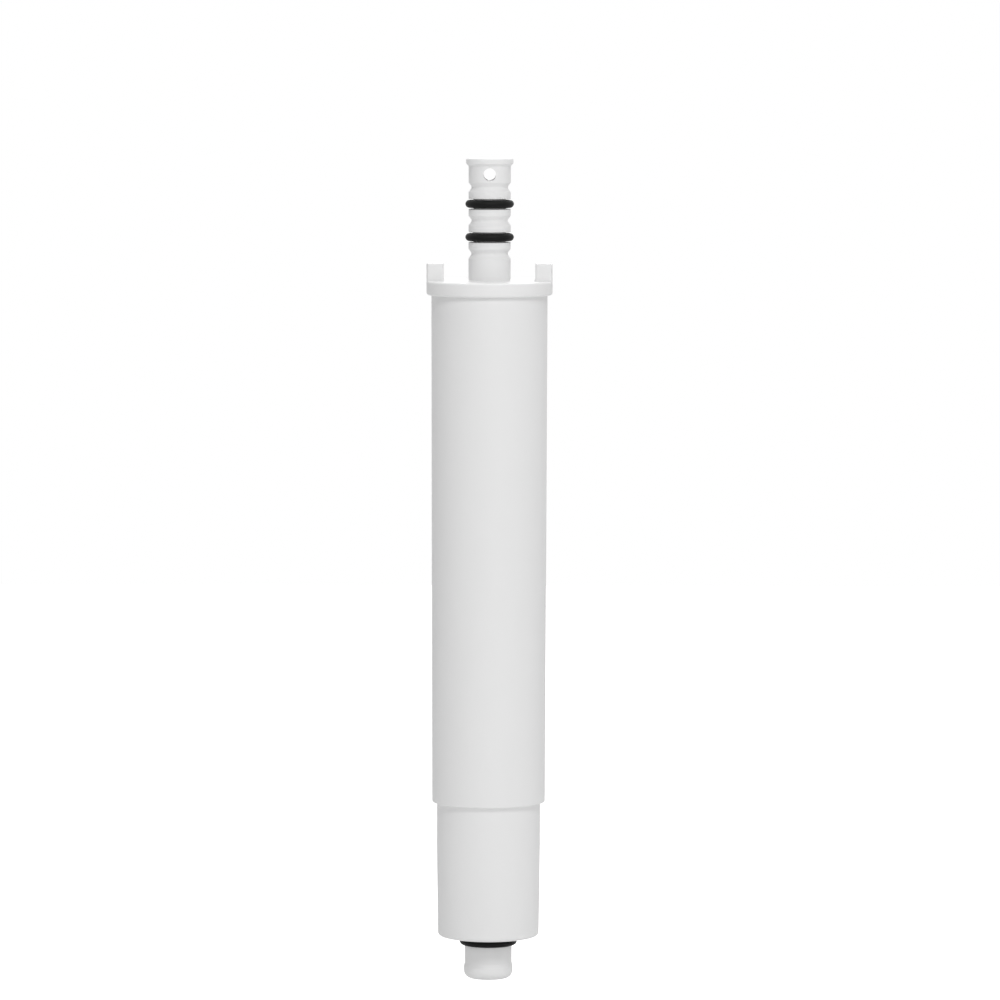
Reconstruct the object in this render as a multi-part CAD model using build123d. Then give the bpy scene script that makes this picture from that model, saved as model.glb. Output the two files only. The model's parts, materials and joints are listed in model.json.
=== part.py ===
from build123d import *
import os
from math import atan, cos, pi, sin

# Water filter cartridge. A port stem with two O-rings stands on a round end plate, which is welded to a
# long tapered housing. The housing holds a wrapped carbon block between two end caps.
# Millimetres. The origin is the centre of the seat face, the top of the end plate, and +Z runs up the
# stem. The two lock lugs stand on the X axis, and the outlet port runs along Y.

# Housing: one moulding, open at its wide upper rim and closed at the spigot
tube_rim_diameter = 38.6
tube_foot_diameter = 37.75
tube_length = 171.65
housing_wall = 2.0
step_width = 1.6  # ledge where the narrower lower part begins
lower_length = 45.1
cap_land_length = 14.0  # straight land under the ledge, which a turning cap seats on
lower_draft = 0.4  # lost in radius from that land down to the base
base_corner_bevel = 1.2
base_cone_height = 0.65
base_face_width = 2.5  # flat ring round the spigot, over the base O-ring
spigot_diameter = 15.75
spigot_length = 13.8
spigot_end_radius = 2.6
bead_rise = 0.3  # of the bead round the spigot's end
bead_height = 4.0
bead_flank = 1.4
spigot_wall = 2.0
support_rib_count = 4
support_rib_thickness = 1.8
support_rib_height = 6.0  # above the lower end of the side wall

# End plate of the top cap: roof over the housing rim, skirt outside it, plug inside it
plate_thickness = 3.0
flange_roof = 2.4
skirt_depth = 2.3
skirt_wall = 1.6
flange_foot_bevel = 0.9
plug_depth = 5.6
plug_wall = 1.6
stand_off_count = 4
stand_off_thickness = 1.6
stand_off_start = 1.2  # from the stem bore to the inner end of each rib

# Lock lugs: two blocks that stand on the plate, flush with its edge
lug_depth = 5.7
lug_width = 7.0
lug_height = 5.9
lug_bevel = 0.5
lug_root_radius = 1.0

# Port stem: collar, two ring lands and a head, parted by shallow waists
stem_diameter = 14.0
collar_height = 7.45
waist_depth = 0.95
waist_floor = 0.6
waist_flank = 1.3
land_lip = 2.2  # land left on each side of a ring gland
head_height = 8.05
rim_overhang = 0.85
rim_height = 1.8
rim_bevel = 0.5
rim_flank = 0.8
gland_depth = 1.6
gland_side_room = 0.4
stem_wall = 1.2  # between the gland floor and the stem bore
outlet_bore_diameter = 4.4
outlet_port_diameter = 4.2
outlet_port_rise = 2.7  # from the foot of the head to the port's middle
inlet_port_diameter = 2.0

# O-rings of the stem and the spigot
stem_ring_section = 2.62
base_ring_section = 2.2
base_gland_depth = 0.55
base_gland_side_room = 0.15
ring_sides = 12  # flats that stand for the round section, which keep the model light

# Filter element: carbon block, its inner and outer wraps, and the two end caps
element_gap = 0.6  # between the end caps and the housing's lower wall
cap_plate = 2.0
cap_rim_wall = 1.0
cap_rim_depth = 8.0
outer_wrap_thickness = 1.0
inner_wrap_thickness = 0.5
block_bore_diameter = 9.0

# Neck of the upper end cap, which plugs into the stem bore, and its square-cut seal
neck_seal_height = 1.5
neck_seal_width = 2.0
neck_gland_wall = 0.8  # between the neck's gland floor and its bore
neck_tube_wall = 1.1
neck_head_length = 6.6
neck_head_flank = 1.2
neck_end_gap = 0.8

# Clearances
weld_clearance = 0.05  # cap to housing
ring_clearance = 0.02  # O-ring to its gland
layer_clearance = 0.03  # between wrapped layers
neck_clearance = 0.1  # neck head to the stem bore

# Heights, from the seat face
rim_z = -flange_roof
flange_foot_z = rim_z - skirt_depth
plug_z = rim_z - plug_depth
step_z = rim_z - tube_length
cap_land_z = step_z - cap_land_length
base_z = step_z - lower_length
base_face_z = base_z - base_cone_height
base_gland_z = base_face_z - base_ring_section - 2 * base_gland_side_room
base_ring_z = base_gland_z + ring_clearance + base_ring_section / 2
spigot_z = base_face_z - spigot_length
bead_z = spigot_z + bead_height
element_top_z = plug_z
element_foot_z = base_z + support_rib_height
block_top_z = element_top_z - cap_plate
block_foot_z = element_foot_z + cap_plate

gland_width = stem_ring_section + 2 * gland_side_room
land_height = gland_width + 2 * land_lip
waist_height = waist_floor + 2 * waist_flank
lower_land_z = collar_height + waist_height
upper_land_z = lower_land_z + land_height + waist_height
head_z = upper_land_z + land_height + waist_height
tip_z = head_z + head_height
rim_under_z = tip_z - rim_height
lower_ring_z = lower_land_z + land_height / 2
upper_ring_z = upper_land_z + land_height / 2
inlet_port_z = upper_land_z - waist_height / 2
outlet_port_z = head_z + outlet_port_rise

# Radii
tube_rim_r = tube_rim_diameter / 2
tube_foot_r = tube_foot_diameter / 2
tube_bore_r = tube_foot_r - housing_wall
lower_r = tube_foot_r - step_width
lower_foot_r = lower_r - lower_draft
lower_bore_r = lower_foot_r - housing_wall
spigot_r = spigot_diameter / 2
bead_r = spigot_r + bead_rise
base_gland_r = spigot_r - base_gland_depth
base_face_r = base_gland_r + base_face_width
spigot_core_r = base_gland_r - spigot_wall
skirt_r = tube_rim_r + weld_clearance
flange_r = skirt_r + skirt_wall
stem_r = stem_diameter / 2
gland_r = stem_r - gland_depth
stem_bore_r = gland_r - stem_wall
rim_r = stem_r + rim_overhang

end_cap_r = lower_bore_r - element_gap
outer_wrap_r = end_cap_r - cap_rim_wall - layer_clearance
block_r = outer_wrap_r - outer_wrap_thickness - layer_clearance
block_bore_r = block_bore_diameter / 2
inner_wrap_r = block_bore_r - layer_clearance
core_r = inner_wrap_r - inner_wrap_thickness

neck_gland_width = neck_seal_width + 2 * gland_side_room
neck_gland_r = stem_bore_r - neck_seal_height - 2 * ring_clearance
neck_head_r = stem_bore_r - neck_clearance
neck_bore_r = neck_gland_r - neck_gland_wall
neck_tube_r = neck_bore_r + neck_tube_wall
neck_top_z = upper_ring_z + neck_head_length / 2
neck_head_z = upper_ring_z - neck_head_length / 2
stem_bore_z = neck_top_z + neck_end_gap


def turned(*corners):
    """Revolve a closed outline of (radius, height) corners about Z. A third value bevels that corner."""
    outline = []
    for index, (radius, height, *bevel) in enumerate(corners):
        here = Vector(radius, 0, height)
        if not bevel:
            outline.append(here)
            continue
        for neighbour in (corners[index - 1], corners[(index + 1) % len(corners)]):
            towards = Vector(neighbour[0], 0, neighbour[1]) - here
            outline.append(here + towards.normalized() * bevel[0])
    return revolve(make_face(Polyline(*outline, close=True)), axis=Axis.Z)


def sleeve(outer_r, inner_r, foot_z, top_z):
    """A plain tube on the Z axis."""
    return turned((inner_r, foot_z), (outer_r, foot_z), (outer_r, top_z), (inner_r, top_z))


def radial_plates(count, thickness, inner_r, outer_r, foot_z, top_z):
    """Evenly spaced upright plates that run out from the axis."""
    middle = Pos((inner_r + outer_r) / 2, 0, (foot_z + top_z) / 2)
    plate = middle * Box(outer_r - inner_r, thickness, top_z - foot_z)
    return [Rot(0, 0, 360 / count * (index + 0.5)) * plate for index in range(count)]


def o_ring(floor_r, section, z):
    """An O-ring on a gland floor. Its flats lie on the round section, so it is as high as that."""
    middle_r = floor_r + ring_clearance + section / 2
    reach = section / 2 / cos(pi / ring_sides)
    angles = [2 * pi * (index + 0.5) / ring_sides for index in range(ring_sides)]
    return turned(*[(middle_r + reach * cos(angle), z + reach * sin(angle)) for angle in angles])


def housing():
    """Tapered tube, ledge, narrower lower part, conical base and closed spigot with a bead, in one piece."""
    cone_slope = base_cone_height / (lower_foot_r - base_face_r)
    floor_rise = housing_wall / cos(atan(cone_slope))
    corner_z = base_z + floor_rise - housing_wall * cone_slope
    core_mouth_z = base_z + floor_rise - (lower_foot_r - spigot_core_r) * cone_slope
    shell = turned(
        (0, spigot_z),
        (bead_r, spigot_z),
        (bead_r, bead_z),
        (spigot_r, bead_z + bead_flank),
        (spigot_r, base_gland_z),
        (base_gland_r, base_gland_z),
        (base_gland_r, base_face_z),
        (base_face_r, base_face_z),
        (lower_foot_r, base_z, base_corner_bevel),
        (lower_r, cap_land_z),
        (lower_r, step_z),
        (tube_foot_r, step_z),
        (tube_rim_r, rim_z),
        (tube_bore_r, rim_z),
        (tube_bore_r, step_z + housing_wall),
        (lower_bore_r, step_z + housing_wall),
        (lower_bore_r, corner_z),
        (spigot_core_r, core_mouth_z),
        (spigot_core_r, spigot_z + spigot_wall),
        (0, spigot_z + spigot_wall),
    )
    shell = fillet(shell.edges().group_by(Axis.Z)[0], spigot_end_radius)
    # The ribs carry the element. They start at the spigot's hollow and run into the wall and the cone.
    rib_end = lower_bore_r + housing_wall / 2
    envelope = turned(
        (0, base_face_z),
        (base_face_r, base_face_z),
        (rib_end, base_z + housing_wall / 2),
        (rib_end, element_foot_z),
        (0, element_foot_z),
    )
    ribs = radial_plates(
        support_rib_count, support_rib_thickness, spigot_core_r, lower_foot_r, base_face_z, element_foot_z
    )
    return shell + [rib & envelope for rib in ribs]


def gland(z):
    """Outline of one stem land's ring groove, from its upper edge down."""
    return [
        (stem_r, z + gland_width / 2),
        (gland_r, z + gland_width / 2),
        (gland_r, z - gland_width / 2),
        (stem_r, z - gland_width / 2),
    ]


def waist(top_z):
    """Outline of one shallow waist with sloping flanks, from its upper edge down."""
    floor_r = stem_r - waist_depth
    return [
        (stem_r, top_z),
        (floor_r, top_z - waist_flank),
        (floor_r, top_z - waist_flank - waist_floor),
        (stem_r, top_z - waist_height),
    ]


def lock_lug():
    """The lug on +X: a block with a root flare towards the stem, trimmed to the round edge of the plate."""
    inner_x = flange_r - lug_depth
    root_x = inner_x - 2 * lug_root_radius
    past_edge = flange_r + lug_bevel
    sunk_z = -flange_roof / 2
    side = FilletPolyline(
        (root_x, 0, sunk_z),
        (past_edge, 0, sunk_z),
        (past_edge, 0, lug_height),
        (inner_x, 0, lug_height),
        (inner_x, 0, 0),
        (root_x, 0, 0),
        radius=[0, 0, 0, 0, lug_root_radius, 0],
        close=True,
    )
    block = extrude(make_face(side), lug_width / 2, dir=(0, 1, 0), both=True)
    edge = turned(
        (0, -flange_roof),
        (flange_r, -flange_roof),
        (flange_r, lug_height, lug_bevel),
        (0, lug_height),
    )
    return block & edge


def top_cap():
    """End plate, skirt, plug, lock lugs and port stem, in one moulding with a blind bore up the stem."""
    plug_r = tube_bore_r - weld_clearance
    plug_inner_r = plug_r - plug_wall
    outlet_bore_r = outlet_bore_diameter / 2
    outlet_end_z = outlet_port_z + outlet_port_diameter / 2
    body = turned(
        (0, tip_z),
        (rim_r, tip_z, rim_bevel),
        (rim_r, rim_under_z),
        (stem_r, rim_under_z - rim_flank),
        *waist(head_z),
        *gland(upper_ring_z),
        *waist(upper_land_z),
        *gland(lower_ring_z),
        *waist(lower_land_z),
        (stem_r, 0),
        (flange_r, 0),
        (flange_r, flange_foot_z, flange_foot_bevel),
        (skirt_r, flange_foot_z),
        (skirt_r, rim_z),
        (plug_r, rim_z),
        (plug_r, plug_z),
        (plug_inner_r, plug_z),
        (plug_inner_r, -plate_thickness),
        (stem_bore_r, -plate_thickness),
        (stem_bore_r, stem_bore_z),
        (outlet_bore_r, stem_bore_z),
        (outlet_bore_r, outlet_end_z),
        (0, outlet_end_z),
    )
    # Ribs under the plate keep the element off it, so that water spreads between them.
    ribs = radial_plates(
        stand_off_count,
        stand_off_thickness,
        stem_bore_r + stand_off_start,
        plug_inner_r + plug_wall / 2,
        plug_z,
        -plate_thickness / 2,
    )
    lug = lock_lug()
    solid = body + ribs + [lug, Rot(0, 0, 180) * lug]
    outlet_port = Pos(0, 0, outlet_port_z) * Rot(90, 0, 0) * Cylinder(outlet_port_diameter / 2, 2 * rim_r)
    inlet_ports = Pos(0, 0, inlet_port_z) * Rot(0, 90, 0) * Cylinder(inlet_port_diameter / 2, 2 * rim_r)
    return solid - outlet_port - inlet_ports


def upper_block_cap():
    """Cup on the block's upper end, with a long hollow neck that plugs into the stem bore."""
    gland_top_z = upper_ring_z + neck_gland_width / 2
    gland_foot_z = upper_ring_z - neck_gland_width / 2
    return turned(
        (neck_bore_r, neck_top_z),
        (neck_head_r, neck_top_z),
        (neck_head_r, gland_top_z),
        (neck_gland_r, gland_top_z),
        (neck_gland_r, gland_foot_z),
        (neck_head_r, gland_foot_z),
        (neck_head_r, neck_head_z),
        (neck_tube_r, neck_head_z - neck_head_flank),
        (neck_tube_r, element_top_z),
        (end_cap_r, element_top_z),
        (end_cap_r, block_top_z - cap_rim_depth),
        (end_cap_r - cap_rim_wall, block_top_z - cap_rim_depth),
        (end_cap_r - cap_rim_wall, block_top_z),
        (neck_bore_r, block_top_z),
    )


def lower_block_cap():
    """Closed cup on the block's lower end, which stands on the housing's ribs."""
    return turned(
        (0, element_foot_z),
        (end_cap_r, element_foot_z),
        (end_cap_r, block_foot_z + cap_rim_depth),
        (end_cap_r - cap_rim_wall, block_foot_z + cap_rim_depth),
        (end_cap_r - cap_rim_wall, block_foot_z),
        (0, block_foot_z),
    )


def neck_seal():
    """Square-cut ring between the neck's gland floor and the stem bore."""
    foot_z = upper_ring_z - neck_seal_width / 2
    top_z = upper_ring_z + neck_seal_width / 2
    return sleeve(stem_bore_r - ring_clearance, neck_gland_r + ring_clearance, foot_z, top_z)


nodes = {
    "housing": housing(),
    "top_cap": top_cap(),
    "stem_o_ring_upper": o_ring(gland_r, stem_ring_section, upper_ring_z),
    "stem_o_ring_lower": o_ring(gland_r, stem_ring_section, lower_ring_z),
    "base_o_ring": o_ring(base_gland_r, base_ring_section, base_ring_z),
    "neck_seal": neck_seal(),
    "upper_block_cap": upper_block_cap(),
    "lower_block_cap": lower_block_cap(),
    "carbon_block": sleeve(block_r, block_bore_r, block_foot_z, block_top_z),
    "inner_wrap": sleeve(inner_wrap_r, core_r, block_foot_z, block_top_z),
    "outer_wrap": sleeve(outer_wrap_r, outer_wrap_r - outer_wrap_thickness, block_foot_z, block_top_z),
}

os.makedirs("parts", exist_ok=True)
for name, solid in nodes.items():
    export_step(solid, f"parts/{name}.step")
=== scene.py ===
import json
import logging
from dataclasses import dataclass
from enum import Enum
from math import atan, cos, pi, radians, sqrt, tan
from typing import Any, Optional

import bmesh
import bpy
from mathutils import Matrix, Vector


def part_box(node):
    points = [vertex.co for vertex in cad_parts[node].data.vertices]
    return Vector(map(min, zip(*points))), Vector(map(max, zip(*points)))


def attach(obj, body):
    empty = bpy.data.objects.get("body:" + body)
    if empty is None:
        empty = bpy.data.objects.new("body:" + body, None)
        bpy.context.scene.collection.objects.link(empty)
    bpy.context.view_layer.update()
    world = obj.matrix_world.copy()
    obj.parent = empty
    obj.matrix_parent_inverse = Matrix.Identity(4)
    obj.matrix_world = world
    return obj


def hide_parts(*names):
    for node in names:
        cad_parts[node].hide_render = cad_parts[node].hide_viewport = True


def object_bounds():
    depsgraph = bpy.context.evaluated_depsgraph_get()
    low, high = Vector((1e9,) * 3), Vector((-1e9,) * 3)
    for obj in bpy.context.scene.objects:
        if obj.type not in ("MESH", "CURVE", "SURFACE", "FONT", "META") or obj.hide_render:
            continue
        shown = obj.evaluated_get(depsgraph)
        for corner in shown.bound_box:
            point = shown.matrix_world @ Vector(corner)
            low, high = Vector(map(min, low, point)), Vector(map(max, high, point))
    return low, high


# Looks of a water filter cartridge: moulded shells, rubber rings, inner finishes, light and camera.
# Lengths in dataclass fields are millimetres. Meshes, nodes and the scene are in metres.

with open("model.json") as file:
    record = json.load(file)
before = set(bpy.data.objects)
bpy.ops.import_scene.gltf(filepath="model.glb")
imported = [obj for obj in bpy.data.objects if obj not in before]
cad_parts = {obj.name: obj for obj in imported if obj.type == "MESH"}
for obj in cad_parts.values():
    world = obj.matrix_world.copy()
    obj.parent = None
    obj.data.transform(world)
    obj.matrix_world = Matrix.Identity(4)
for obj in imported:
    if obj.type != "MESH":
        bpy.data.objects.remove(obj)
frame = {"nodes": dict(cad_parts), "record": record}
cad_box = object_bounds()

MM = 0.001
BODY = "root"
MERGE_GAP = 1e-6
SHARP_ANGLE = radians(38)
ROUND_PROFILE = 0.5
WHITE = (1.0, 1.0, 1.0, 1.0)

# The sRGB curve: straight up to its knee, then a shifted power.
SRGB_KNEE = 0.04045
SRGB_SLOPE = 12.92
SRGB_SHIFT = 0.055
SRGB_POWER = 2.4

# A Mix node has sockets of one name for each data type, so its colour sockets go by number.
FIRST_COLOUR = 6
SECOND_COLOUR = 7
MIXED_COLOUR = 2

log = logging.getLogger("cartridge")


def linear(colour: str) -> tuple[float, float, float, float]:
    """Turn an sRGB hex colour into linear values.

    Args:
        colour: six hex digits after a hash sign.

    Returns:
        Linear red, green and blue, and an alpha of 1.
    """
    channels = [int(colour[start : start + 2], 16) / 255 for start in (1, 3, 5)]
    red, green, blue = (
        c / SRGB_SLOPE if c <= SRGB_KNEE else ((c + SRGB_SHIFT) / (1 + SRGB_SHIFT)) ** SRGB_POWER
        for c in channels
    )
    return (red, green, blue, 1.0)


def add_node(
    tree: bpy.types.NodeTree, kind: str, inputs: Optional[dict[Any, Any]] = None, **settings: Any
) -> bpy.types.Node:
    """Add a node with its settings and links.

    Args:
        tree: the tree that gets the node.
        kind: Blender's type name of the node.
        inputs: a value, or the output socket to link from, for each input by name or number.
        settings: the node's own properties.

    Returns:
        The new node.
    """
    node = tree.nodes.new(kind)
    for name, value in settings.items():
        setattr(node, name, value)
    for name, value in (inputs or {}).items():
        if isinstance(value, bpy.types.NodeSocket):
            tree.links.new(value, node.inputs[name])
        else:
            node.inputs[name].default_value = value
    return node


def per_metre(size_mm: float) -> float:
    """Texture scale that makes one cell as wide as a real size in millimetres."""
    return 1 / (size_mm * MM)


def new_material(name: str) -> tuple[bpy.types.Material, bpy.types.NodeTree, bpy.types.NodeSocket]:
    """Start a node material.

    Args:
        name: the material's name.

    Returns:
        The material, its emptied node tree, and an Object coordinate socket in that tree.
    """
    material = bpy.data.materials.new(name)
    material.use_nodes = True
    tree = material.node_tree
    tree.nodes.clear()
    place = add_node(tree, "ShaderNodeTexCoord")
    return material, tree, place.outputs["Object"]


def end_material(tree: bpy.types.NodeTree, inputs: dict[str, Any]) -> None:
    """Close a material with a principled surface.

    Args:
        tree: the material's node tree.
        inputs: values and links of the principled shader.
    """
    surface = add_node(tree, "ShaderNodeBsdfPrincipled", inputs)
    add_node(tree, "ShaderNodeOutputMaterial", {"Surface": surface.outputs["BSDF"]})


@dataclass(frozen=True)
class MouldedPolypropylene:
    """Injection-moulded polypropylene: dull white, with the fine grain of a spark-eroded mould.

    The grain breaks up the gloss, and the melt leaves faint clouds along the flow.
    """

    name: str
    colour: str
    cloud_colour: str
    roughness_low: float = 0.40
    roughness_high: float = 0.54
    grain: float = 0.45
    grain_detail: float = 2.0
    grain_depth: float = 0.006
    grain_strength: float = 0.5
    cloud: float = 14.0
    cloud_detail: float = 3.0
    cloud_stretch: float = 0.2
    gloss: float = 0.25
    light_share: float = 0.1
    light_depth: float = 1.2
    light_spread: tuple[float, float, float] = (1.0, 1.0, 1.0)

    def material(self) -> bpy.types.Material:
        """Build the plastic's node material.

        Returns:
            The material.
        """
        material, tree, place = new_material(self.name)
        along = add_node(
            tree,
            "ShaderNodeMapping",
            {"Vector": place, "Scale": (1, 1, self.cloud_stretch)},
        )
        cloud = add_node(
            tree,
            "ShaderNodeTexNoise",
            {
                "Vector": along.outputs["Vector"],
                "Scale": per_metre(self.cloud),
                "Detail": self.cloud_detail,
            },
        )
        colour = add_node(
            tree,
            "ShaderNodeMix",
            {
                "Factor": cloud.outputs[0],
                FIRST_COLOUR: linear(self.colour),
                SECOND_COLOUR: linear(self.cloud_colour),
            },
            data_type="RGBA",
        )
        grain = add_node(
            tree,
            "ShaderNodeTexNoise",
            {"Vector": place, "Scale": per_metre(self.grain), "Detail": self.grain_detail},
        )
        grain_height = grain.outputs[0]
        roughness = add_node(
            tree,
            "ShaderNodeMapRange",
            {"Value": grain_height, "To Min": self.roughness_low, "To Max": self.roughness_high},
        )
        bump = add_node(
            tree,
            "ShaderNodeBump",
            {
                "Height": grain_height,
                "Strength": self.grain_strength,
                "Distance": self.grain_depth * MM,
            },
        )
        end_material(
            tree,
            {
                "Base Color": colour.outputs[MIXED_COLOUR],
                "Roughness": roughness.outputs["Result"],
                "Normal": bump.outputs["Normal"],
                "Specular IOR Level": self.gloss,
                "Subsurface Weight": self.light_share,
                "Subsurface Radius": self.light_spread,
                "Subsurface Scale": self.light_depth * MM,
            },
        )
        return material


@dataclass(frozen=True)
class NitrileRubber:
    """Moulded nitrile rubber: near black, with a soft sheen from a trace of grease and a fine dry grain."""

    name: str
    colour: str
    worn_colour: str
    grain: float = 0.3
    grain_detail: float = 3.0
    grain_depth: float = 0.008
    grain_strength: float = 0.5
    smear: float = 3.5
    smear_detail: float = 2.0
    roughness_low: float = 0.45
    roughness_high: float = 0.65
    gloss: float = 0.12

    def material(self) -> bpy.types.Material:
        """Build the rubber's node material.

        Returns:
            The material.
        """
        material, tree, place = new_material(self.name)
        smear = add_node(
            tree,
            "ShaderNodeTexNoise",
            {"Vector": place, "Scale": per_metre(self.smear), "Detail": self.smear_detail},
        )
        colour = add_node(
            tree,
            "ShaderNodeMix",
            {
                "Factor": smear.outputs[0],
                FIRST_COLOUR: linear(self.colour),
                SECOND_COLOUR: linear(self.worn_colour),
            },
            data_type="RGBA",
        )
        roughness = add_node(
            tree,
            "ShaderNodeMapRange",
            {"Value": smear.outputs[0], "To Min": self.roughness_low, "To Max": self.roughness_high},
        )
        grain = add_node(
            tree,
            "ShaderNodeTexNoise",
            {"Vector": place, "Scale": per_metre(self.grain), "Detail": self.grain_detail},
        )
        bump = add_node(
            tree,
            "ShaderNodeBump",
            {
                "Height": grain.outputs[0],
                "Strength": self.grain_strength,
                "Distance": self.grain_depth * MM,
            },
        )
        end_material(
            tree,
            {
                "Base Color": colour.outputs[MIXED_COLOUR],
                "Roughness": roughness.outputs["Result"],
                "Normal": bump.outputs["Normal"],
                "Specular IOR Level": self.gloss,
            },
        )
        return material


@dataclass(frozen=True)
class PressedCarbon:
    """Activated carbon powder pressed with a binder: dull black grit, painted darker in the low pores
    between the grains as painted shade.
    """

    name: str
    colour: str
    grit_colour: str
    grit: float = 0.7
    grit_depth: float = 0.15
    grit_strength: float = 0.8
    roughness: float = 0.92

    def material(self) -> bpy.types.Material:
        """Build the carbon's node material.

        Returns:
            The material.
        """
        material, tree, place = new_material(self.name)
        grit = add_node(tree, "ShaderNodeTexVoronoi", {"Vector": place, "Scale": per_metre(self.grit)})
        # Painted shade: the colour runs from the lighter grit at each grain's middle to near black in the
        # pores between the grains, where the bump sinks.
        colour = add_node(
            tree,
            "ShaderNodeMix",
            {
                "Factor": grit.outputs["Distance"],
                FIRST_COLOUR: linear(self.grit_colour),
                SECOND_COLOUR: linear(self.colour),
            },
            data_type="RGBA",
        )
        bump = add_node(
            tree,
            "ShaderNodeBump",
            {
                "Height": grit.outputs["Distance"],
                "Strength": self.grit_strength,
                "Distance": self.grit_depth * MM,
            },
            invert=True,
        )
        end_material(
            tree,
            {
                "Base Color": colour.outputs[MIXED_COLOUR],
                "Roughness": self.roughness,
                "Normal": bump.outputs["Normal"],
            },
        )
        return material


@dataclass(frozen=True)
class MeltBlownFleece:
    """Melt-blown polypropylene fleece: matted off-white fibres that lie mostly round the sleeve, with
    painted shade where the surface sinks between them.
    """

    name: str
    colour: str
    shade_colour: str
    fibre: float = 0.35
    fibre_stretch: float = 6.0
    fibre_detail: float = 4.0
    fibre_tangle: float = 0.8
    fibre_depth: float = 0.12
    fibre_strength: float = 0.7
    roughness: float = 0.95
    sheen: float = 0.2

    def material(self) -> bpy.types.Material:
        """Build the fleece's node material.

        Returns:
            The material.
        """
        material, tree, place = new_material(self.name)
        lengthwise = add_node(
            tree, "ShaderNodeMapping", {"Vector": place, "Scale": (1, 1, self.fibre_stretch)}
        )
        fibre = add_node(
            tree,
            "ShaderNodeTexNoise",
            {
                "Vector": lengthwise.outputs["Vector"],
                "Scale": per_metre(self.fibre * self.fibre_stretch),
                "Detail": self.fibre_detail,
                "Distortion": self.fibre_tangle,
            },
        )
        # Painted shade: the fibre noise that raises the bump also darkens the colour towards shade_colour
        # where the surface sinks between fibres.
        colour = add_node(
            tree,
            "ShaderNodeMix",
            {
                "Factor": fibre.outputs[0],
                FIRST_COLOUR: linear(self.shade_colour),
                SECOND_COLOUR: linear(self.colour),
            },
            data_type="RGBA",
        )
        bump = add_node(
            tree,
            "ShaderNodeBump",
            {
                "Height": fibre.outputs[0],
                "Strength": self.fibre_strength,
                "Distance": self.fibre_depth * MM,
            },
        )
        end_material(
            tree,
            {
                "Base Color": colour.outputs[MIXED_COLOUR],
                "Roughness": self.roughness,
                "Normal": bump.outputs["Normal"],
                "Sheen Weight": self.sheen,
            },
        )
        return material


HOUSING_PLASTIC = MouldedPolypropylene("moulded_polypropylene_housing", "#E9E9E9", "#E6E6E6")
CAP_PLASTIC = MouldedPolypropylene("moulded_polypropylene_cap", "#EBEBEB", "#E8E8E8")
END_CAP_PLASTIC = MouldedPolypropylene("moulded_polypropylene_end_cap", "#E0E0DB", "#DADAD4")
RUBBER = NitrileRubber("moulded_nitrile_rubber", "#0E0E0E", "#151515")
CARBON = PressedCarbon("pressed_activated_carbon", "#0D0D0E", "#2A2A2C")
INNER_FLEECE = MeltBlownFleece("spun_bonded_inner_fleece", "#E4E3DE", "#C9C7C0", fibre=0.25)
OUTER_FLEECE = MeltBlownFleece("melt_blown_outer_fleece", "#ECEBE7", "#D2D0CA")


@dataclass(frozen=True)
class Corner:
    """One corner of a turned outline: its radius, height and edge rounding in millimetres."""

    radius: float
    height: float
    rounding: float = 0.0


class Cut(Enum):
    """What a tool solid does to the body it meets."""

    ADD = "UNION"
    TAKE = "DIFFERENCE"


class PortWay(Enum):
    """The way a port runs, by the axis that an upright rod turns about to lie along it."""

    ALONG_X = "Y"
    ALONG_Y = "X"


def named_mount(name: str) -> dict[str, Any]:
    """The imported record's mount of that name."""
    return next(mount for mount in frame["record"]["mounts"] if mount["name"] == name)


def box_mm(node: str) -> tuple[Vector, Vector]:
    """Lowest and highest corner of a CAD node, in millimetres."""
    low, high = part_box(node)
    return low / MM, high / MM


def show(mesh: bpy.types.Mesh, name: str) -> bpy.types.Object:
    """Put a mesh into the scene as an object at the origin.

    Args:
        mesh: the object's mesh.
        name: the object's name.

    Returns:
        The new object.
    """
    thing = bpy.data.objects.new(name, mesh)
    bpy.context.scene.collection.objects.link(thing)
    return thing


def settle(thing: bpy.types.Object) -> bpy.types.Object:
    """Turn an object's modifiers into plain mesh.

    Args:
        thing: an object with live modifiers.

    Returns:
        The same object, with the evaluated mesh and no modifier.
    """
    bpy.context.view_layer.update()
    graph = bpy.context.evaluated_depsgraph_get()
    mesh = bpy.data.meshes.new_from_object(thing.evaluated_get(graph))
    thing.modifiers.clear()
    thing.data = mesh
    return thing


def close_and_smooth(thing: bpy.types.Object) -> None:
    """Merge doubled points, turn all faces outwards and shade smooth between sharp edges.

    Args:
        thing: the object whose mesh is mended.
    """
    shape = bmesh.new()
    shape.from_mesh(thing.data)
    bmesh.ops.remove_doubles(shape, verts=shape.verts, dist=MERGE_GAP)
    bmesh.ops.recalc_face_normals(shape, faces=shape.faces)
    for face in shape.faces:
        face.smooth = True
    shape.to_mesh(thing.data)
    shape.free()
    thing.data.set_sharp_from_angle(angle=SHARP_ANGLE)


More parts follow.
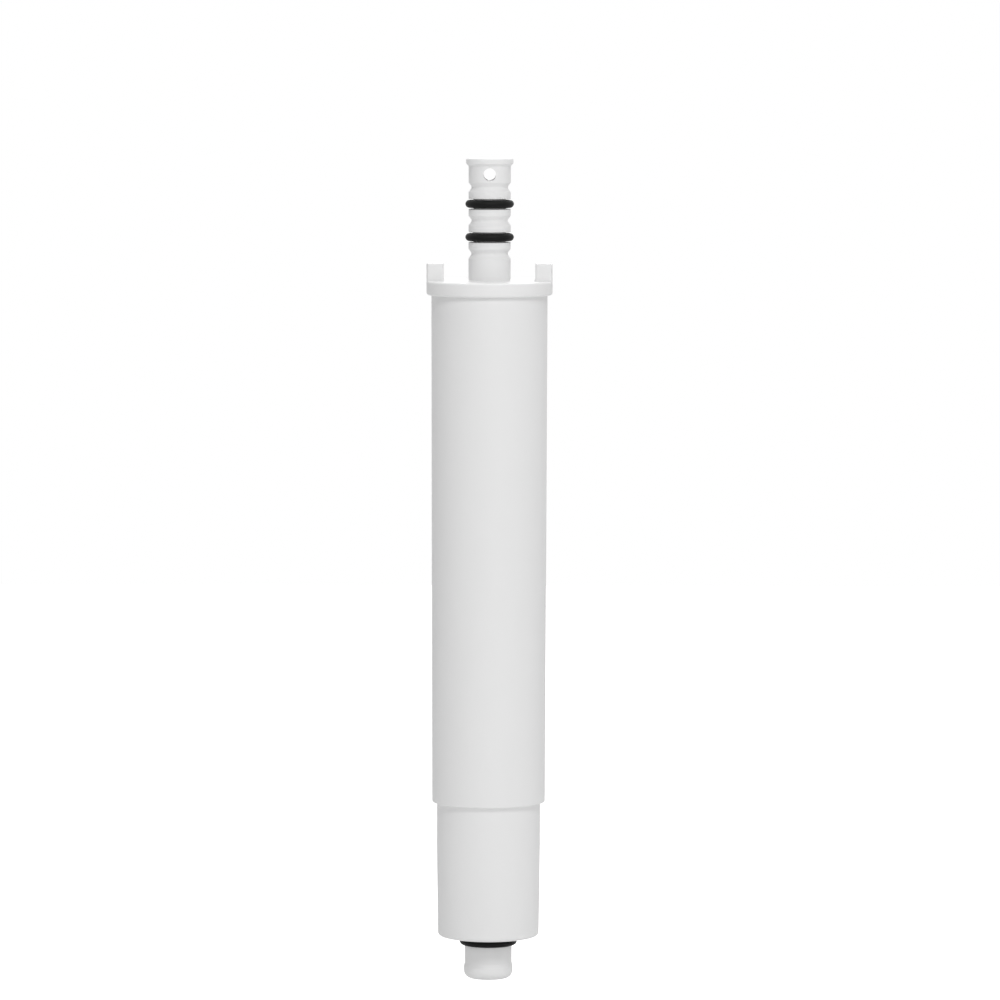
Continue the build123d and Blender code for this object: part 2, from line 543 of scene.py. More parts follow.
class NodeRecipe:
    """A Geometry Nodes tree with named inputs, run on an object and then made plain mesh."""

    def __init__(self, name: str, inputs: dict[str, str]) -> None:
        """Start the tree.

        Args:
            name: the tree's name.
            inputs: the socket type of each input, by its name, after the incoming geometry.
        """
        self.tree = bpy.data.node_groups.new(name, "GeometryNodeTree")
        self.tree.interface.new_socket("Geometry", in_out="INPUT", socket_type="NodeSocketGeometry")
        for label, kind in inputs.items():
            self.tree.interface.new_socket(label, in_out="INPUT", socket_type=kind)
        self.tree.interface.new_socket("Geometry", in_out="OUTPUT", socket_type="NodeSocketGeometry")
        self.given = add_node(self.tree, "NodeGroupInput").outputs

    def end(self, geometry: bpy.types.NodeSocket) -> None:
        """Close the tree with real geometry in the given material.

        Args:
            geometry: the socket that carries the finished shape.
        """
        real = add_node(self.tree, "GeometryNodeRealizeInstances", {"Geometry": geometry})
        dressed = add_node(
            self.tree,
            "GeometryNodeSetMaterial",
            {"Geometry": real.outputs["Geometry"], "Material": self.given["Material"]},
        )
        add_node(self.tree, "NodeGroupOutput", {"Geometry": dressed.outputs["Geometry"]})

    def run(self, thing: bpy.types.Object, values: dict[str, Any]) -> bpy.types.Object:
        """Run the tree on an object.

        Args:
            thing: the object that holds the incoming geometry.
            values: a value for each named input.

        Returns:
            The object with the result as its plain mesh.
        """
        modifier = thing.modifiers.new(self.tree.name, "NODES")
        modifier.node_group = self.tree
        sockets = {item.name: item for item in self.tree.interface.items_tree if item.in_out == "INPUT"}
        for label, value in values.items():
            modifier[sockets[label].identifier] = value
        settle(thing)
        close_and_smooth(thing)
        return thing


class TurnedForm(NodeRecipe):
    """Rounds the corners of an outline and sweeps it round the Z axis."""

    PATH_RADIUS = 10 * MM
    ROUNDING = "rounding"

    def __init__(self) -> None:
        """Build the tree: outline to curve, rounded corners, sweep along a circle."""
        super().__init__(
            "turned_form",
            {"Arc Steps": "NodeSocketInt", "Turn Steps": "NodeSocketInt", "Material": "NodeSocketMaterial"},
        )
        line = add_node(self.tree, "GeometryNodeMeshToCurve", {"Mesh": self.given["Geometry"]})
        rounding = add_node(
            self.tree, "GeometryNodeInputNamedAttribute", {"Name": self.ROUNDING}, data_type="FLOAT"
        )
        rounded = add_node(
            self.tree,
            "GeometryNodeFilletCurve",
            {
                "Curve": line.outputs["Curve"],
                "Radius": rounding.outputs["Attribute"],
                "Count": self.given["Arc Steps"],
                "Limit Radius": True,
            },
            mode="POLY",
        )
        path = add_node(
            self.tree,
            "GeometryNodeCurvePrimitiveCircle",
            {"Resolution": self.given["Turn Steps"], "Radius": self.PATH_RADIUS},
        )
        upright = add_node(
            self.tree, "GeometryNodeSetCurveNormal", {"Curve": path.outputs["Curve"]}, mode="Z_UP"
        )
        swept = add_node(
            self.tree,
            "GeometryNodeCurveToMesh",
            {"Curve": upright.outputs["Curve"], "Profile Curve": rounded.outputs["Curve"]},
        )
        self.end(swept.outputs["Mesh"])

    def make(
        self,
        name: str,
        corners: list[Corner],
        material: bpy.types.Material,
        turn_steps: int = 144,
        arc_steps: int = 6,
    ) -> bpy.types.Object:
        """Turn an outline into a solid.

        Args:
            name: the new object's name.
            corners: the outline, from axis to axis.
            material: the finish.
            turn_steps: flats round the axis.
            arc_steps: points on each rounded corner.

        Returns:
            The turned object.
        """
        # On an upright circle path, a profile's X runs outwards and its Y runs down.
        points = [(corner.radius * MM - self.PATH_RADIUS, -corner.height * MM, 0) for corner in corners]
        edges = [(index, index + 1) for index in range(len(points) - 1)]
        mesh = bpy.data.meshes.new(name)
        mesh.from_pydata(points, edges, [])
        attribute = mesh.attributes.new(self.ROUNDING, "FLOAT", "POINT")
        attribute.data.foreach_set("value", [corner.rounding * MM for corner in corners])
        return self.run(
            show(mesh, name), {"Arc Steps": arc_steps, "Turn Steps": turn_steps, "Material": material}
        )


class CopiesRoundAxis(NodeRecipe):
    """Repeats a piece at even angles round the Z axis."""

    def __init__(self) -> None:
        """Build the tree: one point for each copy, each turned by its share of a full turn."""
        super().__init__(
            "copies_round_axis",
            {"Count": "NodeSocketInt", "First Angle": "NodeSocketFloat", "Material": "NodeSocketMaterial"},
        )
        stack = add_node(
            self.tree, "GeometryNodePoints", {"Count": self.given["Count"], "Position": (0.0, 0.0, 0.0)}
        )
        number = add_node(self.tree, "GeometryNodeInputIndex")
        step = add_node(
            self.tree, "ShaderNodeMath", {0: 2 * pi, 1: self.given["Count"]}, operation="DIVIDE"
        )
        angle = add_node(
            self.tree,
            "ShaderNodeMath",
            {0: number.outputs["Index"], 1: step.outputs["Value"], 2: self.given["First Angle"]},
            operation="MULTIPLY_ADD",
        )
        turn = add_node(self.tree, "ShaderNodeCombineXYZ", {"Z": angle.outputs["Value"]})
        copies = add_node(
            self.tree,
            "GeometryNodeInstanceOnPoints",
            {
                "Points": stack.outputs[0],
                "Instance": self.given["Geometry"],
                "Rotation": turn.outputs["Vector"],
            },
        )
        self.end(copies.outputs["Instances"])


class RubberRingRecipe(NodeRecipe):
    """Sweeps a round section with a fine mould line on its outside round the Z axis."""

    LINE_SHARPNESS = 90.0

    def __init__(self) -> None:
        """Build the tree: section circle, mould line, sweep along a circle, lift to its height."""
        super().__init__(
            "rubber_ring",
            {
                "Middle Radius": "NodeSocketFloat",
                "Section Radius": "NodeSocketFloat",
                "Mould Line": "NodeSocketFloat",
                "Height": "NodeSocketFloat",
                "Section Steps": "NodeSocketInt",
                "Turn Steps": "NodeSocketInt",
                "Material": "NodeSocketMaterial",
            },
        )
        section = add_node(
            self.tree,
            "GeometryNodeCurvePrimitiveCircle",
            {"Resolution": self.given["Section Steps"], "Radius": self.given["Section Radius"]},
        )
        place = add_node(self.tree, "GeometryNodeInputPosition")
        outwards = add_node(
            self.tree, "ShaderNodeVectorMath", {0: place.outputs["Position"]}, operation="NORMALIZE"
        )
        parts = add_node(self.tree, "ShaderNodeSeparateXYZ", {0: outwards.outputs["Vector"]})
        outer_half = add_node(
            self.tree, "ShaderNodeMath", {0: parts.outputs["X"], 1: 0.0}, operation="MAXIMUM"
        )
        line = add_node(
            self.tree,
            "ShaderNodeMath",
            {0: outer_half.outputs["Value"], 1: self.LINE_SHARPNESS},
            operation="POWER",
        )
        line_height = add_node(
            self.tree,
            "ShaderNodeMath",
            {0: line.outputs["Value"], 1: self.given["Mould Line"]},
            operation="MULTIPLY",
        )
        lift = add_node(
            self.tree,
            "ShaderNodeVectorMath",
            {0: outwards.outputs["Vector"], "Scale": line_height.outputs["Value"]},
            operation="SCALE",
        )
        lined = add_node(
            self.tree,
            "GeometryNodeSetPosition",
            {"Geometry": section.outputs["Curve"], "Offset": lift.outputs["Vector"]},
        )
        path = add_node(
            self.tree,
            "GeometryNodeCurvePrimitiveCircle",
            {"Resolution": self.given["Turn Steps"], "Radius": self.given["Middle Radius"]},
        )
        upright = add_node(
            self.tree, "GeometryNodeSetCurveNormal", {"Curve": path.outputs["Curve"]}, mode="Z_UP"
        )
        swept = add_node(
            self.tree,
            "GeometryNodeCurveToMesh",
            {"Curve": upright.outputs["Curve"], "Profile Curve": lined.outputs["Geometry"]},
        )
        height = add_node(self.tree, "ShaderNodeCombineXYZ", {"Z": self.given["Height"]})
        lifted = add_node(
            self.tree,
            "GeometryNodeTransform",
            {"Geometry": swept.outputs["Mesh"], "Translation": height.outputs["Vector"]},
        )
        self.end(lifted.outputs["Geometry"])


def meet(body: bpy.types.Object, tool: bpy.types.Object, cut: Cut) -> None:
    """Join a tool solid to a body or cut it away, then remove the tool.

    Args:
        body: the solid that changes.
        tool: the solid that is used up.
        cut: whether the tool is added or taken away.
    """
    modifier = body.modifiers.new("meet", "BOOLEAN")
    modifier.operation = cut.value
    modifier.solver = "EXACT"
    modifier.object = tool
    settle(body)
    bpy.data.objects.remove(tool)
    close_and_smooth(body)


def block(name: str, xs: list[float], ys: list[float], zs: list[float]) -> bpy.types.Object:
    """Build a closed box with its faces divided at the given places.

    Args:
        name: the new object's name.
        xs: places along X in millimetres, rising.
        ys: places along Y in millimetres, rising.
        zs: places along Z in millimetres, rising.

    Returns:
        The box as an object.
    """
    shape = bmesh.new()
    sides = (xs, ys, zs)
    for axis in range(3):
        across = [other for other in range(3) if other != axis]
        for end in (sides[axis][0], sides[axis][-1]):
            grid = []
            for first in sides[across[0]]:
                row = []
                for second in sides[across[1]]:
                    point = Vector()
                    point[axis] = end * MM
                    point[across[0]] = first * MM
                    point[across[1]] = second * MM
                    row.append(shape.verts.new(point))
                grid.append(row)
            for row, next_row in zip(grid, grid[1:]):
                for index in range(len(row) - 1):
                    shape.faces.new((row[index], row[index + 1], next_row[index + 1], next_row[index]))
    bmesh.ops.remove_doubles(shape, verts=shape.verts, dist=MERGE_GAP)
    bmesh.ops.recalc_face_normals(shape, faces=shape.faces)
    mesh = bpy.data.meshes.new(name)
    shape.to_mesh(mesh)
    shape.free()
    return show(mesh, name)


def soften(thing: bpy.types.Object, width: float, above: float, segments: int = 5) -> None:
    """Round the sharp edges of a block.

    Args:
        thing: the block.
        width: the rounding in millimetres.
        above: height in millimetres that an edge has to rise above to be rounded.
        segments: flats on each rounded edge.
    """
    shape = bmesh.new()
    shape.from_mesh(thing.data)
    edges = [
        edge
        for edge in shape.edges
        if edge.calc_face_angle() > SHARP_ANGLE and max(end.co.z for end in edge.verts) > above * MM
    ]
    bmesh.ops.bevel(
        shape,
        geom=edges,
        offset=width * MM,
        offset_type="OFFSET",
        segments=segments,
        profile=ROUND_PROFILE,
        affect="EDGES",
        clamp_overlap=True,
    )
    shape.to_mesh(thing.data)
    shape.free()


def steps(start: float, end: float, count: int) -> list[float]:
    """Evenly spaced values from start to end, with both ends."""
    return [start + (end - start) * index / count for index in range(count + 1)]


@dataclass
class Housing:
    """The tapered tube with its ledge, narrower lower part, conical base and closed spigot."""

    turned: TurnedForm
    copies: CopiesRoundAxis
    node: str = "housing"
    slot: str = "housing_polypropylene"
    wall: float = 2.0
    step_width: float = 1.6
    lower_draft: float = 0.4
    base_corner: float = 1.2
    ring_room: float = 0.02
    base_cone_height: float = 0.65
    base_face_width: float = 2.5
    spigot_r: float = 7.875
    gland_depth: float = 0.55
    gland_room: float = 0.15
    bead_flank: float = 1.4
    bead_soft: float = 1.2
    spigot_wall: float = 2.0
    rib_count: int = 4
    rib_thickness: float = 1.8
    rib_height: float = 6.0
    step_edge: float = 0.35
    fine_edge: float = 0.2
    gate_radius: float = 1.3
    gate_depth: float = 0.3

    def __post_init__(self) -> None:
        """Read the main sizes from the frame."""
        low, high = box_mm(self.node)
        seat = named_mount("cap_seat")
        bead = named_mount("base_spigot")
        ring_low, ring_high = box_mm("base_o_ring")
        self.rim_z = high.z
        self.rim_r = high.x
        self.foot_z = low.z
        self.lower_r = seat["dims"]["r_mm"]
        self.lower_foot_r = self.lower_r - self.lower_draft
        self.tube_r = self.lower_r + self.step_width
        self.tube_bore_r = self.tube_r - self.wall
        self.step_z = seat["pos_m"][2] / MM + seat["dims"]["length_mm"] / 2
        self.land_z = self.step_z - seat["dims"]["length_mm"]
        self.bead_r = bead["dims"]["r_mm"]
        self.bead_z = bead["pos_m"][2] / MM + bead["dims"]["length_mm"] / 2
        self.end_bend_z = bead["pos_m"][2] / MM - bead["dims"]["length_mm"] / 2
        self.gland_z = ring_low.z - self.ring_room
        self.base_face_z = self.gland_z + (ring_high.z - ring_low.z) + 2 * self.gland_room
        self.base_z = self.base_face_z + self.base_cone_height

    def outline(self) -> list[Corner]:
        """Lay out the wall.

        Returns:
            The outer wall from the spigot's end up to the rim, then the inner wall back down.
        """
        gland_r = self.spigot_r - self.gland_depth
        face_r = gland_r + self.base_face_width
        core_r = gland_r - self.spigot_wall
        slope = self.base_cone_height / (self.lower_foot_r - face_r)
        bend = self.base_corner / tan((pi / 2 - atan(slope)) / 2)
        floor_rise = self.wall / cos(atan(slope))
        bore_r = self.lower_foot_r - self.wall
        ledge_z = self.step_z + self.wall
        return [
            Corner(0, self.foot_z + self.gate_depth),
            Corner(self.gate_radius, self.foot_z + self.gate_depth, self.fine_edge),
            Corner(self.gate_radius, self.foot_z, self.gate_depth / 2),
            Corner(self.bead_r, self.foot_z, self.end_bend_z - self.foot_z),
            Corner(self.bead_r, self.bead_z, self.bead_soft),
            Corner(self.spigot_r, self.bead_z + self.bead_flank, self.bead_soft),
            Corner(self.spigot_r, self.gland_z, self.fine_edge),
            Corner(gland_r, self.gland_z, self.fine_edge),
            Corner(gland_r, self.base_face_z, self.fine_edge),
            Corner(face_r, self.base_face_z, self.step_edge),
            Corner(self.lower_foot_r, self.base_z, bend),
            Corner(self.lower_r, self.land_z),
            Corner(self.lower_r, self.step_z, self.step_edge),
            Corner(self.tube_r, self.step_z, self.step_edge),
            Corner(self.rim_r, self.rim_z, self.fine_edge),
            Corner(self.tube_bore_r, self.rim_z, self.fine_edge),
            Corner(self.tube_bore_r, ledge_z, self.step_edge),
            Corner(bore_r, ledge_z, self.step_edge),
            Corner(bore_r, self.base_z + floor_rise - self.wall * slope, self.step_edge),
            Corner(core_r, self.base_z + floor_rise - (self.lower_foot_r - core_r) * slope, self.step_edge),
            Corner(core_r, self.foot_z + self.spigot_wall, self.step_edge),
            Corner(0, self.foot_z + self.spigot_wall),
        ]

    def ribs(self, material: bpy.types.Material) -> bpy.types.Object:
        """Upright plates inside, which the filter element stands on.

        Args:
            material: the finish.

        Returns:
            All the ribs as one object.
        """
        core_r = self.spigot_r - self.gland_depth - self.spigot_wall
        outer_r = self.lower_foot_r - self.wall / 2
        half = self.rib_thickness / 2
        floor_z = self.base_z + self.wall / 2
        plate = block(
            "support_ribs", [core_r, outer_r], [-half, half], [floor_z, self.base_z + self.rib_height]
        )
        cone_slope = self.base_cone_height / (self.lower_foot_r - core_r)
        for vertex in plate.data.vertices:
            if vertex.co.z < (floor_z + self.wall) * MM:
                vertex.co.z -= (self.lower_foot_r * MM - vertex.co.x) * cone_slope
        return self.copies.run(
            plate, {"Count": self.rib_count, "First Angle": pi / self.rib_count, "Material": material}
        )

    def build(self, material: bpy.types.Material) -> bpy.types.Object:
        """Build the housing in place of its CAD node.

        Args:
            material: the finish.

        Returns:
            The housing.
        """
        shell = self.turned.make("housing_shell", self.outline(), material)
        meet(shell, self.ribs(material), Cut.ADD)
        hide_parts(self.node)
        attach(shell, BODY)
        return shell


@dataclass
class TopCap:
    """The end plate with its skirt and plug, the two lock lugs and the port stem."""

    turned: TurnedForm
    copies: CopiesRoundAxis
    tube_bore_r: float
    node: str = "top_cap"
    slot: str = "cap_polypropylene"
    plate_thickness: float = 3.0
    skirt_depth: float = 2.3
    skirt_room: float = 0.05
    plug_wall: float = 1.6
    foot_bend: float = 0.9
    plate_edge: float = 0.7
    lug_count: int = 2
    lug_depth: float = 5.7
    lug_width: float = 7.0
    lug_height: float = 5.9
    lug_edge: float = 0.5
    lug_root: float = 1.0
    lug_sunk: float = 1.2
    lug_inset: float = 0.02
    lug_root_steps: int = 6
    lug_width_steps: int = 14
    stem_r: float = 7.0
    stem_root: float = 0.35
    collar_height: float = 7.45
    waist_depth: float = 0.95
    waist_floor: float = 0.6
    waist_flank: float = 1.3
    waist_bend: float = 0.6
    land_lip: float = 2.2
    land_edge: float = 0.3
    gland_depth: float = 1.6
    gland_room: float = 0.4
    gland_edge: float = 0.15
    rim_overhang: float = 0.85
    rim_height: float = 1.8
    rim_edge: float = 0.7
    rim_flank: float = 0.8
    bore_r: float = 4.2
    neck_room: float = 0.8
    outlet_bore_r: float = 2.2
    outlet_r: float = 2.1
    outlet_rise: float = 2.7
    inlet_r: float = 1.0
    rib_count: int = 4
    rib_thickness: float = 1.6
    rib_start: float = 1.2
    port_steps: int = 48

    def __post_init__(self) -> None:
        """Read the main sizes from the frame."""
        low, high = box_mm(self.node)
        _, rim_high = box_mm("housing")
        _, neck_high = box_mm("upper_block_cap")
        lower_low, lower_high = box_mm("stem_o_ring_lower")
        upper_low, upper_high = box_mm("stem_o_ring_upper")
        self.plug_z = low.z
        self.tip_z = high.z
        self.plate_r = high.x
        self.rim_z = rim_high.z
        self.skirt_r = rim_high.x + self.skirt_room
        self.skirt_z = self.rim_z - self.skirt_depth
        self.bore_z = neck_high.z + self.neck_room
        self.section = upper_high.z - upper_low.z
        self.lower_ring_z = (lower_low.z + lower_high.z) / 2
        self.upper_ring_z = (upper_low.z + upper_high.z) / 2
        self.gland_width = self.section + 2 * self.gland_room
        self.land_height = self.gland_width + 2 * self.land_lip
        self.waist_height = self.waist_floor + 2 * self.waist_flank
        self.rim_under_z = self.tip_z - self.rim_height
        self.head_z = self.upper_ring_z + self.land_height / 2 + self.waist_height
        self.outlet_z = self.head_z + self.outlet_rise
        self.inlet_z = (self.lower_ring_z + self.upper_ring_z) / 2

    def gland(self, ring_z: float) -> list[Corner]:
        """Lay out the ring groove of one land.

        Args:
            ring_z: the height of the ring's middle in millimetres.

        Returns:
            The groove from its upper edge down.
        """
        top = ring_z + self.gland_width / 2
        foot = ring_z - self.gland_width / 2
        floor_r = self.stem_r - self.gland_depth
        return [
            Corner(self.stem_r, top, self.gland_edge),
            Corner(floor_r, top, self.gland_edge),
            Corner(floor_r, foot, self.gland_edge),
            Corner(self.stem_r, foot, self.gland_edge),
        ]

    def waist(self, top_z: float) -> list[Corner]:
        """Lay out a shallow waist with sloping flanks.

        Args:
            top_z: the height of its upper edge in millimetres.

        Returns:
            The waist from its upper edge down.
        """
        floor_r = self.stem_r - self.waist_depth
        return [
            Corner(self.stem_r, top_z, self.land_edge),
            Corner(floor_r, top_z - self.waist_flank, self.waist_bend),
            Corner(floor_r, top_z - self.waist_flank - self.waist_floor, self.waist_bend),
            Corner(self.stem_r, top_z - self.waist_height, self.land_edge),
        ]

    def outline(self) -> list[Corner]:
        """Lay out the moulding without its lugs, ribs and ports.

        Returns:
            The stem from its tip down, plate, skirt and plug, then the bore back up.
        """
        rim_r = self.stem_r + self.rim_overhang
        plug_r = self.tube_bore_r - self.skirt_room
        plug_bore_r = plug_r - self.plug_wall
        outlet_end_z = self.outlet_z + self.outlet_r / 2
        upper_land_z = self.upper_ring_z - self.land_height / 2
        return [
            Corner(0, self.tip_z),
            Corner(rim_r, self.tip_z, self.rim_edge),
            Corner(rim_r, self.rim_under_z, self.land_edge),
            Corner(self.stem_r, self.rim_under_z - self.rim_flank, self.waist_bend),
            *self.waist(self.head_z),
            *self.gland(self.upper_ring_z),
            *self.waist(upper_land_z),
            *self.gland(self.lower_ring_z),
            *self.waist(self.collar_height + self.waist_height),
            Corner(self.stem_r, 0, self.stem_root),
            Corner(self.plate_r, 0, self.plate_edge),
            Corner(self.plate_r, self.skirt_z, self.foot_bend),
            Corner(self.skirt_r, self.skirt_z, self.skirt_room),
            Corner(self.skirt_r, self.rim_z),
            Corner(plug_r, self.rim_z),
            Corner(plug_r, self.plug_z, self.land_edge),
            Corner(plug_bore_r, self.plug_z, self.land_edge),
            Corner(plug_bore_r, -self.plate_thickness, self.land_edge),
            Corner(self.bore_r, -self.plate_thickness, self.land_edge),
            Corner(self.bore_r, self.bore_z),
            Corner(self.outlet_bore_r, self.bore_z),
            Corner(self.outlet_bore_r, outlet_end_z),
            Corner(0, outlet_end_z),
        ]

    def lugs(self, material: bpy.types.Material) -> bpy.types.Object:
        """The two lock lugs: blocks with rounded edges, a root flare and the plate's curve outside.

        Args:
            material: the finish.

        Returns:
            Both lugs as one object.
        """
        outer_x = self.plate_r - self.lug_inset
        inner_x = outer_x - self.lug_depth
        half = self.lug_width / 2
        flare_angles = steps(0, pi / 2, self.lug_root_steps)
        flare_zs = [self.lug_root * (1 - cos(angle)) for angle in flare_angles]
        lug = block(
            "lock_lugs",
            [inner_x, outer_x],
            steps(-half, half, self.lug_width_steps),
            [-self.lug_sunk, *flare_zs, self.lug_height],
        )
        soften(lug, self.lug_edge, above=0)
        for vertex in lug.data.vertices:
            across = vertex.co.y / MM
            height = vertex.co.z / MM
            share = (vertex.co.x / MM - inner_x) / self.lug_depth
            sag = outer_x - sqrt(outer_x**2 - across**2)
            rise = self.lug_root - min(max(height, 0), self.lug_root)
            flare = self.lug_root - sqrt(self.lug_root**2 - rise**2)
            vertex.co.x -= (sag * share + flare * (1 - share)) * MM
        return self.copies.run(
            lug, {"Count": self.lug_count, "First Angle": 0.0, "Material": material}
        )

    def stand_offs(self, material: bpy.types.Material) -> bpy.types.Object:
        """Ribs under the plate that keep the filter element off it.

        Args:
            material: the finish.

        Returns:
            All the ribs as one object.
        """
        half = self.rib_thickness / 2
        outer_x = self.tube_bore_r - self.skirt_room - self.plug_wall / 2
        rib = block(
            "stand_off_ribs",
            [self.bore_r + self.rib_start, outer_x],
            [-half, half],
            [self.plug_z, -self.plate_thickness / 2],
        )
        return self.copies.run(
            rib, {"Count": self.rib_count, "First Angle": pi / self.rib_count, "Material": material}
        )

    def port(
        self, name: str, radius: float, z: float, way: PortWay, material: bpy.types.Material
    ) -> bpy.types.Object:
        """A rod that cuts a port straight through the stem.

        Args:
            name: the new object's name.
            radius: the port's radius in millimetres.
            z: the port's height in millimetres.
            way: the way the port runs.
            material: the finish of the port's wall.

        Returns:
            The rod as an object.
        """
        reach = 2 * self.stem_r
        rod = self.turned.make(
            name,
            [Corner(0, reach), Corner(radius, reach), Corner(radius, -reach), Corner(0, -reach)],
            material,
            turn_steps=self.port_steps,
        )
        lay_down = Matrix.Rotation(pi / 2, 4, way.value)
        rod.data.transform(Matrix.Translation((0, 0, z * MM)) @ lay_down)
        return rod

    def build(self, material: bpy.types.Material) -> bpy.types.Object:
        """Build the top cap in place of its CAD node.

        Args:
            material: the finish.

        Returns:
            The top cap.
        """
        cap = self.turned.make("top_cap_moulding", self.outline(), material)
        meet(cap, self.stand_offs(material), Cut.ADD)
        meet(cap, self.lugs(material), Cut.ADD)
        outlet = self.port("outlet_port", self.outlet_r, self.outlet_z, PortWay.ALONG_Y, material)
        meet(cap, outlet, Cut.TAKE)
        inlet = self.port("inlet_port", self.inlet_r, self.inlet_z, PortWay.ALONG_X, material)
        meet(cap, inlet, Cut.TAKE)
        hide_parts(self.node)
        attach(cap, BODY)
        return cap


@dataclass
class RubberRings:
    """The O-rings that can be seen: two on the stem and one under the conical base."""

    recipe: RubberRingRecipe
    nodes: tuple[str, ...] = ("stem_o_ring_upper", "stem_o_ring_lower", "base_o_ring")
    slot: str = "nitrile_rubber"
    mould_line: float = 0.04
    section_steps: int = 64
    turn_steps: int = 128

    def build(self, material: bpy.types.Material) -> list[bpy.types.Object]:
        """Build each ring in place of its CAD node.

        Args:
            material: the finish.

        Returns:
            The rings.
        """
        rings = []
        for node in self.nodes:
            low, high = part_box(node)
            section_r = (high.z - low.z) / 2
            ring = show(bpy.data.meshes.new(f"{node}_rubber"), f"{node}_rubber")
            values = {
                "Middle Radius": high.x - section_r,
                "Section Radius": section_r,
                "Mould Line": self.mould_line * MM,
                "Height": (low.z + high.z) / 2,
                "Section Steps": self.section_steps,
                "Turn Steps": self.turn_steps,
                "Material": material,
            }
            self.recipe.run(ring, values)
            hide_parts(node)
            rings.append(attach(ring, BODY))
        return rings


@dataclass
class FilterElement:
    """The sealed inner pieces, which keep their CAD form and get their finishes."""

    end_caps: tuple[str, ...] = ("upper_block_cap", "lower_block_cap")
    seal: str = "neck_seal"
    core: str = "carbon_block"
    inner_sleeve: str = "inner_wrap"
    outer_sleeve: str = "outer_wrap"

    def dress(self) -> list[bpy.types.Object]:
        """Give each inner CAD node its finish.

        Returns:
            The dressed nodes.
        """
        finishes = {
            **dict.fromkeys(self.end_caps, END_CAP_PLASTIC.material()),
            self.seal: RUBBER.material(),
            self.core: CARBON.material(),
            self.inner_sleeve: INNER_FLEECE.material(),
            self.outer_sleeve: OUTER_FLEECE.material(),
        }
        for node, material in finishes.items():
            for slot in frame["nodes"][node].material_slots:
                slot.material = material
        return [frame["nodes"][node] for node in finishes]


@dataclass(frozen=True)
class Softbox:
    """A flat lamp: where it stands, how large it is, and its power in watts."""

    name: str
    place: tuple[float, float, float]
    width: float
    height: float
    power: float

    def build(self, target: Vector) -> bpy.types.Object:
        """Hang the lamp so that it faces a point.

        Args:
            target: the point, in metres.

        Returns:
            The lamp object.
        """
        lamp = bpy.data.lights.new(self.name, "AREA")
        lamp.shape = "RECTANGLE"
        lamp.size = self.width
        lamp.size_y = self.height
        lamp.energy = self.power
        thing = bpy.data.objects.new(self.name, lamp)
        thing.location = self.place
        thing.rotation_euler = (target - thing.location).to_track_quat("-Z", "Y").to_euler()
        bpy.context.scene.collection.objects.link(thing)
        return thing


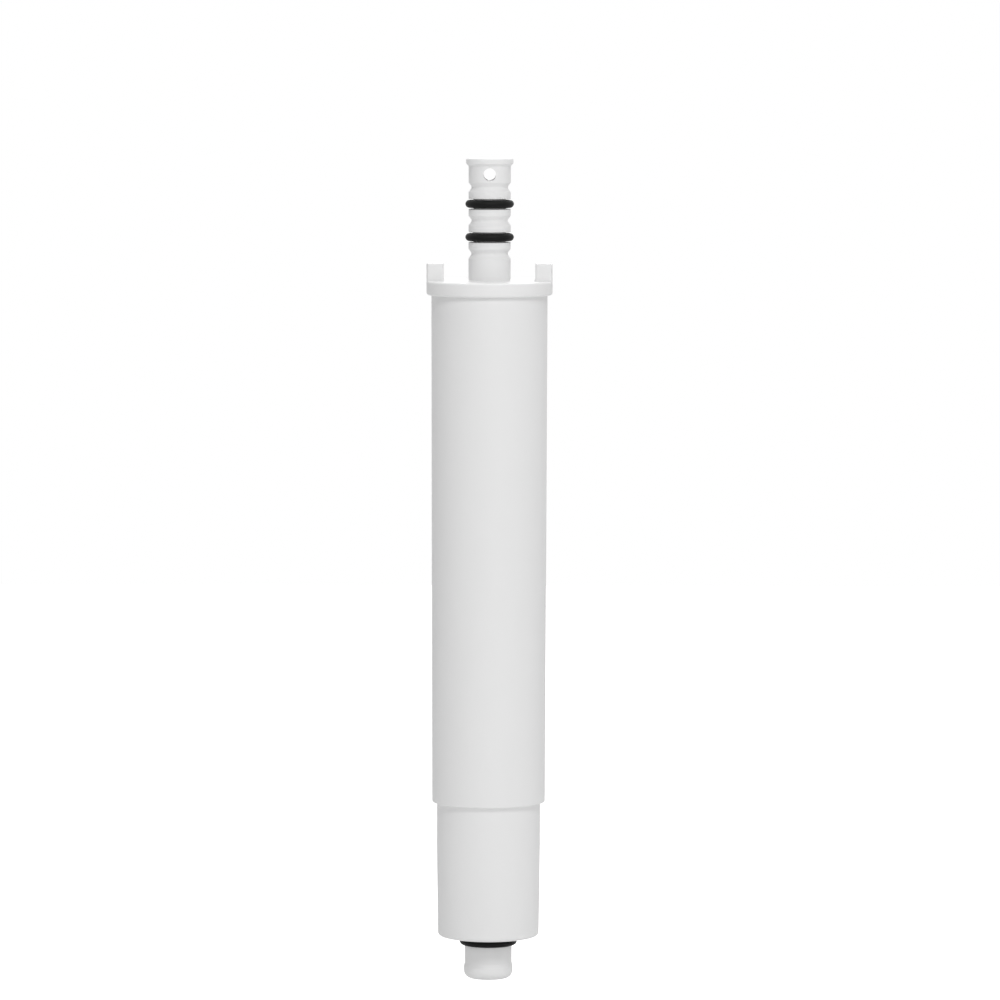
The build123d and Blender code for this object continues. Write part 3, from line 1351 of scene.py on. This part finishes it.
@dataclass
class Studio:
    """White backdrop, pale floor and soft light."""

    ambient: float = 0.395
    backdrop: float = 1.0
    floor_colour: str = "#F2F2F2"
    floor_glow: float = 0.8
    floor_share: float = 0.25
    floor_size: float = 3.0
    floor_drop: float = 12.0
    lamps: tuple[Softbox, ...] = (
        Softbox("key_softbox", (0.3, -1.63, 1.443), 0.6, 0.6, 17.8),
        Softbox("low_front_fill", (0.308, -1.148, -0.167), 0.5, 0.7, 2.2),
        Softbox("overhead_softbox", (0.0, 0.291, 1.369), 1.0, 0.6, 8.2),
        Softbox("back_fill", (0.1, 1.55, 0.75), 0.6, 0.6, 6.0),
    )

    def world(self) -> None:
        """White where the camera and mirrors look, softer where it lights the object."""
        world = bpy.data.worlds.new("white_studio")
        bpy.context.scene.world = world
        world.use_nodes = True
        tree = world.node_tree
        tree.nodes.clear()
        rays = add_node(tree, "ShaderNodeLightPath")
        camera_or_glossy = add_node(
            tree,
            "ShaderNodeMath",
            {0: rays.outputs["Is Camera Ray"], 1: rays.outputs["Is Glossy Ray"]},
            operation="MAXIMUM",
        )
        seen = add_node(
            tree,
            "ShaderNodeMath",
            {0: camera_or_glossy.outputs["Value"], 1: rays.outputs["Is Transmission Ray"]},
            operation="MAXIMUM",
        )
        strength = add_node(
            tree,
            "ShaderNodeMapRange",
            {"Value": seen.outputs["Value"], "To Min": self.ambient, "To Max": self.backdrop},
        )
        white = add_node(
            tree, "ShaderNodeBackground", {"Color": WHITE, "Strength": strength.outputs["Result"]}
        )
        add_node(tree, "ShaderNodeOutputWorld", {"Surface": white.outputs["Background"]})

    def floor(self) -> bpy.types.Object:
        """A pale floor below the object that keeps a faint shadow.

        Returns:
            The floor object.
        """
        shape = bmesh.new()
        bmesh.ops.create_grid(shape, x_segments=1, y_segments=1, size=self.floor_size / 2)
        bmesh.ops.translate(shape, verts=shape.verts, vec=(0, 0, cad_box[0].z - self.floor_drop * MM))
        mesh = bpy.data.meshes.new("studio_floor")
        shape.to_mesh(mesh)
        shape.free()
        material = bpy.data.materials.new("pale_studio_floor")
        material.use_nodes = True
        tree = material.node_tree
        tree.nodes.clear()
        rays = add_node(tree, "ShaderNodeLightPath")
        paint = add_node(tree, "ShaderNodeBsdfDiffuse", {"Color": linear(self.floor_colour)})
        glow = add_node(tree, "ShaderNodeEmission", {"Color": WHITE, "Strength": self.floor_glow})
        faint = add_node(
            tree,
            "ShaderNodeMixShader",
            {0: self.floor_share, 1: glow.outputs["Emission"], 2: paint.outputs["BSDF"]},
        )
        lit = add_node(
            tree,
            "ShaderNodeAddShader",
            {0: faint.outputs["Shader"], 1: glow.outputs["Emission"]},
        )
        chosen = add_node(
            tree,
            "ShaderNodeMixShader",
            {0: rays.outputs["Is Camera Ray"], 1: paint.outputs["BSDF"], 2: lit.outputs["Shader"]},
        )
        add_node(tree, "ShaderNodeOutputMaterial", {"Surface": chosen.outputs["Shader"]})
        mesh.materials.append(material)
        floor = show(mesh, "studio_floor")
        return floor

    def build(self, target: Vector) -> None:
        """Set up backdrop, floor and lamps.

        Args:
            target: the point that the lamps face, in metres.
        """
        bpy.context.scene.view_settings.view_transform = "Standard"
        self.world()
        self.floor()
        for lamp in self.lamps:
            lamp.build(target)


@dataclass
class PhotoCamera:
    """A long lens a little above the seat face, as the photograph was taken."""

    distance: float = 2000.0
    height: float = 90.0
    aim_x: float = 3.63
    aim_z: float = -73.0
    view_width: float = 333.1
    roll: float = radians(0.12)
    sensor: float = 36.0

    def build(self) -> bpy.types.Object:
        """Place the camera and make it the scene's.

        Returns:
            The camera object.
        """
        aim = Vector((self.aim_x, 0, self.aim_z)) * MM
        place = Vector((self.aim_x, -self.distance, self.height)) * MM
        sight = aim - place
        data = bpy.data.cameras.new("photo_camera")
        data.sensor_width = self.sensor
        data.lens = self.sensor * sight.length / (self.view_width * MM)
        camera = bpy.data.objects.new("photo_camera", data)
        turn = sight.to_track_quat("-Z", "Y").to_matrix().to_4x4() @ Matrix.Rotation(self.roll, 4, "Z")
        camera.matrix_world = Matrix.Translation(place) @ turn
        bpy.context.scene.collection.objects.link(camera)
        bpy.context.scene.camera = camera
        return camera


def main() -> None:
    """Build and dress every piece, then the studio and the camera."""
    logging.basicConfig(level=logging.INFO, format="%(name)s: %(message)s")
    turned = TurnedForm()
    copies = CopiesRoundAxis()
    housing = Housing(turned, copies)
    pieces = [
        housing.build(HOUSING_PLASTIC.material()),
        TopCap(turned, copies, housing.tube_bore_r).build(CAP_PLASTIC.material()),
        *RubberRings(RubberRingRecipe()).build(RUBBER.material()),
        *FilterElement().dress(),
    ]
    for piece in pieces:
        log.info("%s: %d faces", piece.name, len(piece.data.polygons))
    Studio().build((cad_box[0] + cad_box[1]) / 2)
    PhotoCamera().build()


if __name__ == "__main__":
    main()
